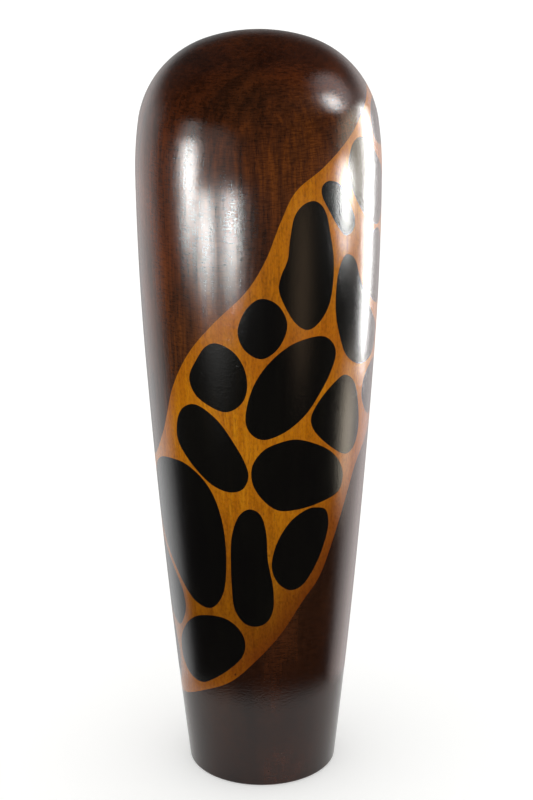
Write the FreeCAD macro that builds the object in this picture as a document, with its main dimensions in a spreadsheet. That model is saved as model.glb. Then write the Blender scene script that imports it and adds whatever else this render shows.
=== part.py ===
import FreeCAD, Part

import math
import os

import Sketcher
from FreeCAD import Placement, Rotation, Vector

# A turned wooden rainstick, standing on its narrow end.
#
# Two hollow wooden shells are glued together with a tenon and socket: a tall domed upper shell
# and a shorter lower cup.  Inside stands a dowel (the core spindle) that is cross-drilled for a
# spiral of thin through-pegs, and loose dry seeds that fall from peg to peg when it is tipped.
#
# Frame: millimetres, +Z up along the turning axis, origin at the centre of the foot, z = 0 on
# the surface that the stick stands on.

doc = FreeCAD.newDocument("rainstick")

# ---------------------------------------------------------------------------------------------
# Driving dimensions, all in millimetres except the two counts and the angles in degrees
# ---------------------------------------------------------------------------------------------

DIMENSIONS = [
    # outside outline, from the foot up to the crown
    ("overall_height", 500.0),
    ("base_radius", 50.0),
    ("side_radius", 6000.0),        # long shallow curve of the lower side
    ("waist_radius", 2000.0),       # side curve where it runs into the belly
    ("belly_radius", 78.0),         # the widest place
    ("belly_height", 410.0),
    ("flank_radius", 240.0),        # belly into shoulder
    ("shoulder_radius", 62.0),
    ("crown_radius", 107.0),
    ("foot_rounding", 1.5),
    ("foot_recess_radius", 36.0),   # hollow underside, so the stick stands on a ring
    ("foot_recess_depth", 1.5),
    # glued joint between the two shells
    ("joint_height", 139.5),
    ("tenon_radius", 59.4),
    ("tenon_length", 12.0),
    ("tenon_chamfer", 0.6),
    ("socket_radius", 59.5),
    ("socket_depth", 12.3),
    # inside of the shells
    ("wall", 12.0),                 # wood thickness from the belly to the crown
    ("floor_height", 14.0),
    ("floor_radius", 40.0),
    ("floor_rounding", 6.0),
    ("bore_mouth_radius", 56.0),    # inside radius where the shells meet
    # core spindle and its two blind sockets
    ("spindle_radius", 8.0),
    ("spindle_chamfer", 0.8),
    ("spindle_bottom", 8.3),
    ("spindle_top", 493.7),
    ("spindle_socket_radius", 8.1),
    ("lower_socket_floor", 8.0),
    ("upper_socket_roof", 494.0),
    # pegs, a spiral of dowels pushed right through the spindle
    ("peg_count", 37),
    ("peg_radius", 2.0),
    ("peg_chamfer", 0.5),
    ("peg_hole_radius", 2.05),
    ("peg_first_height", 32.0),
    ("peg_pitch", 11.0),
    ("peg_step_angle", 30.0),
    ("peg_first_angle", 15.0),
    ("peg_end_gap", 2.5),           # from the end of a peg to the shell
    # seeds, in the upright lanes between the peg columns
    ("lane_count", 12),
    ("seed_radius", 3.0),
    ("seed_spacing", 6.5),
    ("seed_inner_reach", 21.0),     # spindle axis to the innermost seed
    ("seed_pair_angle", 5.5),       # half the angle between the two outermost seeds of a layer
]

sheet = doc.addObject("Spreadsheet::Sheet", "sizes")
for row, (alias, number) in enumerate(DIMENSIONS, start=1):
    sheet.set(f"A{row}", alias)
    sheet.set(f"B{row}", str(number))
    sheet.setAlias(f"B{row}", alias)
doc.recompute()


def size(*aliases):
    """Sum of named sizes; a name that starts with '-' is taken away."""
    total = 0.0
    for alias in aliases:
        sign = -1.0 if alias.startswith("-") else 1.0
        total += sign * sheet.get(alias.lstrip("-"))
    return total


def formula(*aliases):
    """The same sum as an expression on the spreadsheet."""
    text = ""
    for alias in aliases:
        joiner = " - " if alias.startswith("-") else " + "
        text += joiner + "sizes." + alias.lstrip("-")
    return text.removeprefix(" + ")


# ---------------------------------------------------------------------------------------------
# Sketch helpers.  Outlines are half sections: sketch x is the radius, sketch y is the height.
# ---------------------------------------------------------------------------------------------

ORIGIN = (-1, 1)
RADIUS_AXIS = -1
TURNING_AXIS = -2
START, END, CENTRE = 1, 2, 3


def new_body(label):
    body = doc.addObject("PartDesign::Body", label)
    body.Label = label
    return body


def new_sketch(body, name, plane_role):
    sketch = body.newObject("Sketcher::SketchObject", body.Name + "_" + name)
    plane = next(item for item in body.Origin.OriginFeatures if item.Role == plane_role)
    sketch.AttachmentSupport = (plane, [""])
    sketch.MapMode = "FlatFace"
    return sketch


def dimension(sketch, kind, references, name, aliases):
    """Add one driving constraint and bind it to the spreadsheet."""
    sketch.addConstraint(Sketcher.Constraint(kind, *references, size(*aliases)))
    sketch.renameConstraint(sketch.ConstraintCount - 1, name)
    sketch.setExpression("Constraints." + name, formula(*aliases))


def line(start, end):
    return Part.LineSegment(Vector(*start, 0), Vector(*end, 0))


def arc(centre, radius, start, end):
    """Arc round a centre, anticlockwise from the start point to the end point."""
    circle = Part.Circle(Vector(*centre, 0), Vector(0, 0, 1), radius)
    start_angle = math.atan2(start[1] - centre[1], start[0] - centre[0])
    end_angle = math.atan2(end[1] - centre[1], end[0] - centre[0])
    return Part.ArcOfCircle(circle, start_angle, end_angle)


def circles_meet(centre_a, radius_a, centre_b, radius_b):
    """Both points that lie radius_a from centre_a and radius_b from centre_b."""
    gap = math.dist(centre_a, centre_b)
    along = (radius_a ** 2 - radius_b ** 2 + gap ** 2) / (2 * gap)
    aside = math.sqrt(radius_a ** 2 - along ** 2)
    unit = ((centre_b[0] - centre_a[0]) / gap, (centre_b[1] - centre_a[1]) / gap)
    foot = (centre_a[0] + along * unit[0], centre_a[1] + along * unit[1])
    return [
        (foot[0] - aside * unit[1], foot[1] + aside * unit[0]),
        (foot[0] + aside * unit[1], foot[1] - aside * unit[0]),
    ]


def touching_point(outer_centre, inner_centre, radius):
    """Where a circle of this radius touches a smaller circle inside it."""
    gap = math.dist(outer_centre, inner_centre)
    return (
        outer_centre[0] + (inner_centre[0] - outer_centre[0]) * radius / gap,
        outer_centre[1] + (inner_centre[1] - outer_centre[1]) * radius / gap,
    )


def dome_arcs(wall):
    """Centres and end points of the flank, shoulder and crown arcs, this far inside the skin."""
    flank_centre = (size("belly_radius", "-flank_radius"), size("belly_height"))
    crown_centre = (0.0, size("overall_height", "-crown_radius"))
    shoulder_centre = max(circles_meet(
        flank_centre, size("flank_radius", "-shoulder_radius"),
        crown_centre, size("crown_radius", "-shoulder_radius"),
    ))
    flank_end = touching_point(flank_centre, shoulder_centre, size("flank_radius") - wall)
    shoulder_end = touching_point(crown_centre, shoulder_centre, size("crown_radius") - wall)
    top = (0.0, size("overall_height") - wall)
    return flank_centre, shoulder_centre, crown_centre, flank_end, shoulder_end, top


def revolve(body, sketch, kind, name):
    """Turn a half section right round the axis, adding wood or cutting it away."""
    feature = body.newObject("PartDesign::" + kind, body.Name + "_" + name)
    feature.Profile = sketch
    feature.ReferenceAxis = (sketch, ["V_Axis"])
    feature.Angle = 360.0
    doc.recompute()
    if kind == "Groove" and feature.BaseFeature.Shape.Volume - feature.Shape.Volume < 1.0:
        raise RuntimeError(feature.Name + " cuts nothing")
    return feature


def groove_polygon(body, name, corners):
    """Cut away a turned shape whose half section has straight sides.

    Each corner is (radius, height), and each of those is a tuple of size names or an empty
    tuple for zero.
    """
    sketch = new_sketch(body, name + "_outline", "XZ_Plane")
    places = [(size(*radius), size(*height)) for radius, height in corners]
    count = len(places)
    for index in range(count):
        sketch.addGeometry(line(places[index], places[(index + 1) % count]), False)
    for index in range(count):
        sketch.addConstraint(
            Sketcher.Constraint("Coincident", index, END, (index + 1) % count, START))
    for index, (radius, height) in enumerate(corners):
        corner = (index, START)
        if radius:
            dimension(sketch, "DistanceX", ORIGIN + corner, f"radius_{index}", radius)
        else:
            sketch.addConstraint(Sketcher.Constraint("PointOnObject", *corner, TURNING_AXIS))
        if height:
            dimension(sketch, "DistanceY", ORIGIN + corner, f"height_{index}", height)
        else:
            sketch.addConstraint(Sketcher.Constraint("PointOnObject", *corner, RADIUS_AXIS))
    return revolve(body, sketch, "Groove", name)


def turned_blank(body):
    """The whole outside of the stick as one solid, which both shells are cut from."""
    base = (size("base_radius"), 0.0)
    belly = (size("belly_radius"), size("belly_height"))
    waist_centre = (size("belly_radius", "-waist_radius"), size("belly_height"))
    side_centre = min(circles_meet(
        base, size("side_radius"), waist_centre, size("side_radius", "-waist_radius"),
    ), key=lambda place: place[1])
    side_end = touching_point(side_centre, waist_centre, size("side_radius"))
    flank_centre, shoulder_centre, crown_centre, flank_end, shoulder_end, top = dome_arcs(0.0)

    sketch = new_sketch(body, "blank_outline", "XZ_Plane")
    foot, side, waist, flank, shoulder, crown, axis = range(7)
    sketch.addGeometry(line((0.0, 0.0), base), False)
    sketch.addGeometry(arc(side_centre, size("side_radius"), base, side_end), False)
    sketch.addGeometry(arc(waist_centre, size("waist_radius"), side_end, belly), False)
    sketch.addGeometry(arc(flank_centre, size("flank_radius"), belly, flank_end), False)
    sketch.addGeometry(
        arc(shoulder_centre, size("shoulder_radius"), flank_end, shoulder_end), False)
    sketch.addGeometry(arc(crown_centre, size("crown_radius"), shoulder_end, top), False)
    sketch.addGeometry(line(top, (0.0, 0.0)), False)
    sketch.addConstraint([
        Sketcher.Constraint("Coincident", foot, START, *ORIGIN),
        Sketcher.Constraint("PointOnObject", foot, END, RADIUS_AXIS),
        Sketcher.Constraint("Coincident", foot, END, side, START),
        Sketcher.Constraint("Tangent", side, END, waist, START),
        Sketcher.Constraint("Tangent", waist, END, flank, START),
        Sketcher.Constraint("Tangent", flank, END, shoulder, START),
        Sketcher.Constraint("Tangent", shoulder, END, crown, START),
        Sketcher.Constraint("Horizontal", waist, CENTRE, waist, END),
        Sketcher.Constraint("PointOnObject", crown, CENTRE, TURNING_AXIS),
        Sketcher.Constraint("PointOnObject", crown, END, TURNING_AXIS),
        Sketcher.Constraint("Coincident", crown, END, axis, START),
        Sketcher.Constraint("Coincident", axis, END, foot, START),
    ])
    dimension(sketch, "DistanceX", ORIGIN + (foot, END), "base_radius", ["base_radius"])
    dimension(sketch, "DistanceX", ORIGIN + (waist, END), "belly_radius", ["belly_radius"])
    dimension(sketch, "DistanceY", ORIGIN + (waist, END), "belly_height", ["belly_height"])
    dimension(sketch, "DistanceY", ORIGIN + (crown, END), "overall_height", ["overall_height"])
    dimension(sketch, "Radius", (side,), "side_radius", ["side_radius"])
    dimension(sketch, "Radius", (waist,), "waist_radius", ["waist_radius"])
    dimension(sketch, "Radius", (flank,), "flank_radius", ["flank_radius"])
    dimension(sketch, "Radius", (shoulder,), "shoulder_radius", ["shoulder_radius"])
    dimension(sketch, "Radius", (crown,), "crown_radius", ["crown_radius"])
    return revolve(body, sketch, "Revolution", "blank")


def circle_edges(feature, radius, height):
    """Names of the round edges with this radius at this height."""
    names = []
    for number, edge in enumerate(feature.Shape.Edges, start=1):
        if not isinstance(edge.Curve, Part.Circle):
            continue
        same_radius = abs(edge.Curve.Radius - radius) < 0.01
        same_height = abs(edge.Curve.Center.z - height) < 0.01
        if same_radius and same_height:
            names.append(f"Edge{number}")
    if not names:
        raise RuntimeError(f"{feature.Name} has no round edge of radius {radius} at {height}")
    return names


def dress_edge(body, base, kind, name, alias, edges):
    """Round (Fillet) or bevel (Chamfer) some edges of the last feature."""
    feature = body.newObject("PartDesign::" + kind, body.Name + "_" + name)
    feature.Base = (base, edges)
    feature.setExpression("Radius" if kind == "Fillet" else "Size", formula(alias))
    doc.recompute()
    return feature


# ---------------------------------------------------------------------------------------------
# The two shells
# ---------------------------------------------------------------------------------------------

def make_upper_shell():
    """The tall domed shell: open at the bottom, with the socket for the cup's tenon."""
    body = new_body("upper_shell")
    turned_blank(body)
    groove_polygon(body, "joint_and_socket", [
        ((), ()),
        (("belly_radius",), ()),
        (("belly_radius",), ("joint_height",)),
        (("socket_radius",), ("joint_height",)),
        (("socket_radius",), ("joint_height", "socket_depth")),
        ((), ("joint_height", "socket_depth")),
    ])

    # The bore widens in a straight line and runs into a dome that keeps the same wall.
    wall = size("wall")
    flank_centre, shoulder_centre, crown_centre, flank_end, shoulder_end, top = dome_arcs(wall)
    inner_flank = size("flank_radius", "-wall")
    mouth_height = size("joint_height", "socket_depth")
    mouth = (size("bore_mouth_radius"), mouth_height)
    reach = math.dist(mouth, flank_centre)
    tangent_length = math.sqrt(reach ** 2 - inner_flank ** 2)
    bore_end = max(circles_meet(mouth, tangent_length, flank_centre, inner_flank))

    sketch = new_sketch(body, "bore_outline", "XZ_Plane")
    opening, bore, flank, shoulder, crown, axis = range(6)
    sketch.addGeometry(line((0.0, mouth_height), mouth), False)
    sketch.addGeometry(line(mouth, bore_end), False)
    sketch.addGeometry(arc(flank_centre, inner_flank, bore_end, flank_end), False)
    sketch.addGeometry(
        arc(shoulder_centre, size("shoulder_radius", "-wall"), flank_end, shoulder_end), False)
    sketch.addGeometry(
        arc(crown_centre, size("crown_radius", "-wall"), shoulder_end, top), False)
    sketch.addGeometry(line(top, (0.0, mouth_height)), False)
    sketch.addConstraint([
        Sketcher.Constraint("PointOnObject", opening, START, TURNING_AXIS),
        Sketcher.Constraint("Horizontal", opening),
        Sketcher.Constraint("Coincident", opening, END, bore, START),
        Sketcher.Constraint("Tangent", bore, END, flank, START),
        Sketcher.Constraint("Tangent", flank, END, shoulder, START),
        Sketcher.Constraint("Tangent", shoulder, END, crown, START),
        Sketcher.Constraint("PointOnObject", crown, CENTRE, TURNING_AXIS),
        Sketcher.Constraint("PointOnObject", crown, END, TURNING_AXIS),
        Sketcher.Constraint("Coincident", crown, END, axis, START),
        Sketcher.Constraint("Coincident", axis, END, opening, START),
    ])
    dimension(sketch, "DistanceY", ORIGIN + (opening, START), "mouth_height",
              ["joint_height", "socket_depth"])
    dimension(sketch, "DistanceX", ORIGIN + (opening, END), "mouth_radius",
              ["bore_mouth_radius"])
    dimension(sketch, "DistanceY", ORIGIN + (crown, END), "dome_top",
              ["overall_height", "-wall"])
    dimension(sketch, "DistanceX", (flank, CENTRE) + ORIGIN, "flank_centre_reach",
              ["flank_radius", "-belly_radius"])
    dimension(sketch, "DistanceY", ORIGIN + (flank, CENTRE), "flank_centre_height",
              ["belly_height"])
    dimension(sketch, "Radius", (flank,), "flank_radius", ["flank_radius", "-wall"])
    dimension(sketch, "Radius", (shoulder,), "shoulder_radius", ["shoulder_radius", "-wall"])
    dimension(sketch, "Radius", (crown,), "crown_radius", ["crown_radius", "-wall"])
    revolve(body, sketch, "Groove", "bore")

    groove_polygon(body, "spindle_socket", [
        ((), ("belly_height",)),
        (("spindle_socket_radius",), ("belly_height",)),
        (("spindle_socket_radius",), ("upper_socket_roof",)),
        ((), ("upper_socket_roof",)),
    ])
    return body


def make_lower_cup():
    """The foot of the stick: floor and foot ring in one, with the tenon round its rim."""
    body = new_body("lower_cup")
    turned_blank(body)
    groove_polygon(body, "joint_and_tenon", [
        ((), ("joint_height", "tenon_length")),
        (("tenon_radius",), ("joint_height", "tenon_length")),
        (("tenon_radius",), ("joint_height",)),
        (("belly_radius",), ("joint_height",)),
        (("belly_radius",), ("overall_height",)),
        ((), ("overall_height",)),
    ])
    groove_polygon(body, "cavity", [
        ((), ("floor_height",)),
        (("floor_radius",), ("floor_height",)),
        (("bore_mouth_radius",), ("joint_height", "tenon_length")),
        (("bore_mouth_radius",), ("belly_height",)),
        ((), ("belly_height",)),
    ])
    groove_polygon(body, "spindle_socket", [
        ((), ("lower_socket_floor",)),
        (("spindle_socket_radius",), ("lower_socket_floor",)),
        (("spindle_socket_radius",), ("joint_height",)),
        ((), ("joint_height",)),
    ])
    recess = groove_polygon(body, "foot_recess", [
        ((), ()),
        (("foot_recess_radius",), ()),
        (("foot_recess_radius",), ("foot_recess_depth",)),
        ((), ("foot_recess_depth",)),
    ])
    floor_edge = circle_edges(recess, size("floor_radius"), size("floor_height"))
    floor = dress_edge(body, recess, "Fillet", "floor_corner", "floor_rounding", floor_edge)
    foot_edge = circle_edges(floor, size("base_radius"), 0.0)
    foot = dress_edge(body, floor, "Fillet", "foot_edge", "foot_rounding", foot_edge)
    tenon_edge = circle_edges(foot, size("tenon_radius"), size("joint_height", "tenon_length"))
    dress_edge(body, foot, "Chamfer", "tenon_edge", "tenon_chamfer", tenon_edge)
    return body


# ---------------------------------------------------------------------------------------------
# Core spindle and pegs
# ---------------------------------------------------------------------------------------------

def peg_height(index):
    return f"(sizes.peg_first_height + {index} * sizes.peg_pitch)"


def peg_placement(index):
    """The spiral: each peg is one pitch higher and one step further round than the last."""
    height = size("peg_first_height") + index * size("peg_pitch")
    angle = size("peg_first_angle") + index * size("peg_step_angle")
    return Placement(Vector(0, 0, height), Rotation(Vector(0, 0, 1), angle))


def bind_peg_placement(feature, index):
    feature.setExpression("Placement.Base.z", peg_height(index))
    feature.setExpression(
        "Placement.Rotation.Angle",
        f"mod(sizes.peg_first_angle + {index} * sizes.peg_step_angle; 360) * 1 deg")


def make_core_spindle():
    """A dowel that stands in the two blind sockets, cross-drilled for the pegs."""
    body = new_body("core_spindle")
    sketch = new_sketch(body, "round", "XY_Plane")
    circle = Part.Circle(Vector(0, 0, 0), Vector(0, 0, 1), size("spindle_radius"))
    sketch.addGeometry(circle, False)
    sketch.addConstraint(Sketcher.Constraint("Coincident", 0, CENTRE, *ORIGIN))
    dimension(sketch, "Radius", (0,), "spindle_radius", ["spindle_radius"])
    dowel = body.newObject("PartDesign::Pad", "core_spindle_dowel")
    dowel.Profile = sketch
    dowel.setExpression("Length", formula("spindle_top", "-spindle_bottom"))
    doc.recompute()
    ends = circle_edges(dowel, size("spindle_radius"), 0.0)
    ends += circle_edges(dowel, size("spindle_radius"), size("spindle_top", "-spindle_bottom"))
    dress_edge(body, dowel, "Chamfer", "end_bevels", "spindle_chamfer", ends)
    body.setExpression("Placement.Base.z", formula("spindle_bottom"))

    # The holes run crossways: each is a cylinder turned onto its side, through the axis.
    for index in range(int(size("peg_count"))):
        hole = body.newObject("PartDesign::SubtractiveCylinder", f"peg_hole_{index + 1:02d}")
        hole.setExpression("Radius", formula("peg_hole_radius"))
        hole.setExpression("Height", "4 * " + formula("spindle_radius"))
        across = Placement(Vector(-2 * size("spindle_radius"), 0, 0),
                           Rotation(Vector(0, 1, 0), 90))
        into_dowel = Placement(Vector(0, 0, -size("spindle_bottom")), Rotation())
        hole.Placement = into_dowel * peg_placement(index) * across
    doc.recompute()
    return body


def make_peg(index):
    """One straight dowel with bevelled ends that stop just short of the shell."""
    body = new_body(f"peg_{index + 1:02d}")
    sketch = new_sketch(body, "round", "YZ_Plane")
    circle = Part.Circle(Vector(0, 0, 0), Vector(0, 0, 1), size("peg_radius"))
    sketch.addGeometry(circle, False)
    sketch.addConstraint(Sketcher.Constraint("Coincident", 0, CENTRE, *ORIGIN))
    dimension(sketch, "Radius", (0,), "peg_radius", ["peg_radius"])

    height = peg_height(index)
    in_cup = ("sizes.floor_radius + (sizes.bore_mouth_radius - sizes.floor_radius)"
              f" * ({height} - sizes.floor_height)"
              " / (sizes.joint_height + sizes.tenon_length - sizes.floor_height)")
    in_bore = ("sizes.bore_mouth_radius"
               " + (sizes.belly_radius - sizes.wall - sizes.bore_mouth_radius)"
               f" * ({height} - sizes.joint_height - sizes.socket_depth)"
               " / (sizes.belly_height - sizes.joint_height - sizes.socket_depth)")
    in_belly = "sizes.belly_radius - sizes.wall"
    dowel = body.newObject("PartDesign::Pad", body.Name + "_dowel")
    dowel.Profile = sketch
    dowel.SideType = "Symmetric"
    dowel.setExpression(
        "Length", f"2 * (min({in_cup}; {in_bore}; {in_belly}) - sizes.peg_end_gap)")
    doc.recompute()
    ends = [f"Edge{number}" for number, edge in enumerate(dowel.Shape.Edges, start=1)
            if isinstance(edge.Curve, Part.Circle)]
    dress_edge(body, dowel, "Chamfer", "end_bevels", "peg_chamfer", ends)
    body.Placement = peg_placement(index)
    bind_peg_placement(body, index)
    return body


# ---------------------------------------------------------------------------------------------
# Seeds
# ---------------------------------------------------------------------------------------------

def make_seed_layer_places():
    """Centres of the seeds at rest in the first lane, in three loose layers on the floor."""
    spacing = size("seed_spacing")
    inner_reach = size("seed_inner_reach")
    pair_angle = math.radians(size("seed_pair_angle"))
    lowest = size("floor_height") + spacing / 2
    layer_shifts = (0.0, 1.8, 0.6)
    places = []
    for layer, shift in enumerate(layer_shifts):
        height = lowest + layer * spacing
        for column in range(2):
            places.append(Vector(inner_reach + shift + column * spacing, 0, height))
        pair_reach = inner_reach + shift + 2 * spacing
        for side in (-1, 1):
            across = pair_reach * math.sin(side * pair_angle)
            along = pair_reach * math.cos(pair_angle)
            places.append(Vector(along, across, height))
    return places


def make_seed_lane(index, seeds):
    """One lane's seeds as a group of separate solids, turned round to its own lane."""
    lane = doc.addObject("Part::Compound", f"seeds_{index + 1:02d}")
    lane.Label = f"seeds_{index + 1:02d}"
    lane.Links = seeds
    lane_angle = index * 360.0 / size("lane_count")
    lane.Placement = Placement(Vector(0, 0, 0), Rotation(Vector(0, 0, 1), lane_angle))
    return lane


def make_seeds():
    seeds = []
    for index, place in enumerate(make_seed_layer_places()):
        seed = doc.addObject("Part::Sphere", f"seed_{index + 1:02d}")
        seed.setExpression("Radius", formula("seed_radius"))
        seed.Placement = Placement(place, Rotation())
        seeds.append(seed)
    return [make_seed_lane(index, seeds) for index in range(int(size("lane_count")))]


# ---------------------------------------------------------------------------------------------
# Build, check and write
# ---------------------------------------------------------------------------------------------

nodes = [make_upper_shell(), make_lower_cup(), make_core_spindle()]
nodes += [make_peg(index) for index in range(int(size("peg_count")))]
nodes += make_seeds()
doc.recompute()

for item in doc.Objects:
    if "Invalid" in item.State or "Error" in item.State:
        raise RuntimeError(f"{item.Name} failed: {item.State}")
    if hasattr(item, "ConstraintCount") and item.solve() != 0:
        raise RuntimeError(f"{item.Name} isn't solved")

os.makedirs("parts", exist_ok=True)
for node in nodes:
    shape = node.Shape
    if shape.isNull() or not shape.isValid() or shape.Volume <= 0:
        raise RuntimeError(f"{node.Label} has no valid solid")
    print(f"{node.Label}: {len(shape.Solids)} solid(s), {shape.Volume / 1000:.1f} cm3")
for node in nodes:
    node.Shape.exportStep(f"parts/{node.Label}.step")
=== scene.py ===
import math

import bpy
import numpy as np
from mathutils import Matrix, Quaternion, Vector
from mathutils.geometry import delaunay_2d_cdt
from mathutils.kdtree import KDTree


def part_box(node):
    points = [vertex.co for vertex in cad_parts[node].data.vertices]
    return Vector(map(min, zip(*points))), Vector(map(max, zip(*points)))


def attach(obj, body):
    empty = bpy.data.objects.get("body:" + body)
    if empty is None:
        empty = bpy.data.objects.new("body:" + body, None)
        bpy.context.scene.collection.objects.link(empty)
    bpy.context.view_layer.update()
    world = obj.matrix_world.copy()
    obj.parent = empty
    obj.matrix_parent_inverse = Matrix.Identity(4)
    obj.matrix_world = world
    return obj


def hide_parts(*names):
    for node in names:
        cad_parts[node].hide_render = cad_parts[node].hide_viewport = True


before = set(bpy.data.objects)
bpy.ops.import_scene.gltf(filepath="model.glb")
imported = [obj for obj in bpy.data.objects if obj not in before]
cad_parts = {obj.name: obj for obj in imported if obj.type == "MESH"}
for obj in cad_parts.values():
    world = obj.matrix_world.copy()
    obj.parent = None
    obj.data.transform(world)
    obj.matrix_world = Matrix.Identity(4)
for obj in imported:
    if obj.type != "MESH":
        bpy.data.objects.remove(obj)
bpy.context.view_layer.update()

# A turned wooden rainstick standing on its narrow end: dark brown stained wood, round which
# winds an amber band set with black lacquered pebble shapes, all under one clear gloss lacquer.
# Metres, +Z up.  Angles round the stick are in degrees, 0 at the front (-Y), + towards +X.

MM = 0.001

# ---------------------------------------------------------------------------------------------
# Outside outline: the same chain of arcs as the turned wood, (radius, height) from foot to crown
# ---------------------------------------------------------------------------------------------

SHELL_LOW, SHELL_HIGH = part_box("upper_shell")
CUP_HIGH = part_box("lower_cup")[1]
HEIGHT = SHELL_HIGH.z
JOINT_HEIGHT = SHELL_LOW.z
BELLY_RADIUS = SHELL_HIGH.x
TENON_TOP = CUP_HIGH.z

BASE_RADIUS = 50 * MM
SIDE_RADIUS = 6000 * MM
WAIST_RADIUS = 2000 * MM
BELLY_HEIGHT = 410 * MM
FLANK_RADIUS = 240 * MM
SHOULDER_RADIUS = 62 * MM
CROWN_RADIUS = 107 * MM
FOOT_ROUNDING = 1.5 * MM
WALL = 12 * MM


def circles_meet(centre_a, radius_a, centre_b, radius_b):
    """Both points that lie radius_a from centre_a and radius_b from centre_b."""
    gap = math.dist(centre_a, centre_b)
    along = (radius_a ** 2 - radius_b ** 2 + gap ** 2) / (2 * gap)
    aside = math.sqrt(radius_a ** 2 - along ** 2)
    unit = ((centre_b[0] - centre_a[0]) / gap, (centre_b[1] - centre_a[1]) / gap)
    foot = (centre_a[0] + along * unit[0], centre_a[1] + along * unit[1])
    return [
        (foot[0] - aside * unit[1], foot[1] + aside * unit[0]),
        (foot[0] + aside * unit[1], foot[1] - aside * unit[0]),
    ]


def bearing(start, end):
    """Angle of the line from start to end, in radians above the horizontal."""
    return math.atan2(end[1] - start[1], end[0] - start[0])


def outline_arcs():
    """The outline as (centre, radius, first angle, last angle), from the foot to the crown."""
    waist_centre = (BELLY_RADIUS - WAIST_RADIUS, BELLY_HEIGHT)
    side_centre = min(circles_meet(
        (BASE_RADIUS, 0.0), SIDE_RADIUS, waist_centre, SIDE_RADIUS - WAIST_RADIUS,
    ), key=lambda place: place[1])
    flank_centre = (BELLY_RADIUS - FLANK_RADIUS, BELLY_HEIGHT)
    crown_centre = (0.0, HEIGHT - CROWN_RADIUS)
    shoulder_centre = max(circles_meet(
        flank_centre, FLANK_RADIUS - SHOULDER_RADIUS,
        crown_centre, CROWN_RADIUS - SHOULDER_RADIUS,
    ))
    foot_height = FOOT_ROUNDING
    foot_reach = math.sqrt(
        (SIDE_RADIUS - FOOT_ROUNDING) ** 2 - (foot_height - side_centre[1]) ** 2)
    foot_centre = (side_centre[0] + foot_reach, foot_height)

    foot_turn = bearing(side_centre, foot_centre)
    side_turn = bearing(side_centre, waist_centre)
    flank_turn = bearing(flank_centre, shoulder_centre)
    shoulder_turn = bearing(crown_centre, shoulder_centre)
    return [
        (foot_centre, FOOT_ROUNDING, -math.pi / 2, foot_turn),
        (side_centre, SIDE_RADIUS, foot_turn, side_turn),
        (waist_centre, WAIST_RADIUS, side_turn, 0.0),
        (flank_centre, FLANK_RADIUS, 0.0, flank_turn),
        (shoulder_centre, SHOULDER_RADIUS, flank_turn, shoulder_turn),
        (crown_centre, CROWN_RADIUS, shoulder_turn, math.pi / 2),
    ]


ARCS = outline_arcs()
ARC_STARTS = np.concatenate([[0.0], np.cumsum([r * (b - a) for _, r, a, b in ARCS])])
FOOT_END = ARC_STARTS[1]
OUTLINE_LENGTH = ARC_STARTS[-1]


def outline(length):
    """Radius, height and outward normal at these lengths along the outline from the foot."""
    length = np.atleast_1d(np.asarray(length, dtype=float))
    part = np.clip(np.searchsorted(ARC_STARTS, length, side="right") - 1, 0, len(ARCS) - 1)
    centre = np.array([arc[0] for arc in ARCS])[part]
    radius = np.array([arc[1] for arc in ARCS])[part]
    turn = np.array([arc[2] for arc in ARCS])[part] + (length - ARC_STARTS[part]) / radius
    normal = np.stack([np.cos(turn), np.sin(turn)], axis=1)
    place = centre + radius[:, None] * normal
    place[:, 0] = np.maximum(place[:, 0], 0.0)
    return place, normal


LENGTH_STEPS = np.linspace(0.0, OUTLINE_LENGTH, 4001)
HEIGHT_STEPS = outline(LENGTH_STEPS)[0][:, 1]


def length_at(height):
    """Length along the outline at which it reaches this height."""
    return np.interp(height, HEIGHT_STEPS, LENGTH_STEPS)


# ---------------------------------------------------------------------------------------------
# The painted design, drawn on the unrolled side: (degrees round the stick, millimetres up)
# ---------------------------------------------------------------------------------------------

BAND_TOP_EDGE = [
    (-74, 230), (-59, 252), (-48, 284), (-36, 310), (-22, 332), (-6, 354), (3, 374), (10, 398),
    (17, 416), (30, 428), (46, 443), (62, 457), (84, 467), (104, 465), (121, 449), (137, 425),
    (152, 393), (166, 356), (180, 322), (196, 292), (213, 266), (232, 247), (252, 234),
    (270, 226),
]
BAND_BOTTOM_EDGE = [
    (-66, 57), (-43, 68), (-20, 81), (-2, 100), (12, 118), (25, 140), (36, 156), (45, 181),
    (54, 209), (61, 227), (71, 238), (86, 250), (102, 257), (118, 252), (131, 234), (143, 206),
    (156, 172), (168, 141), (181, 113), (196, 90), (212, 72), (230, 60), (250, 53), (272, 52),
]

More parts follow.
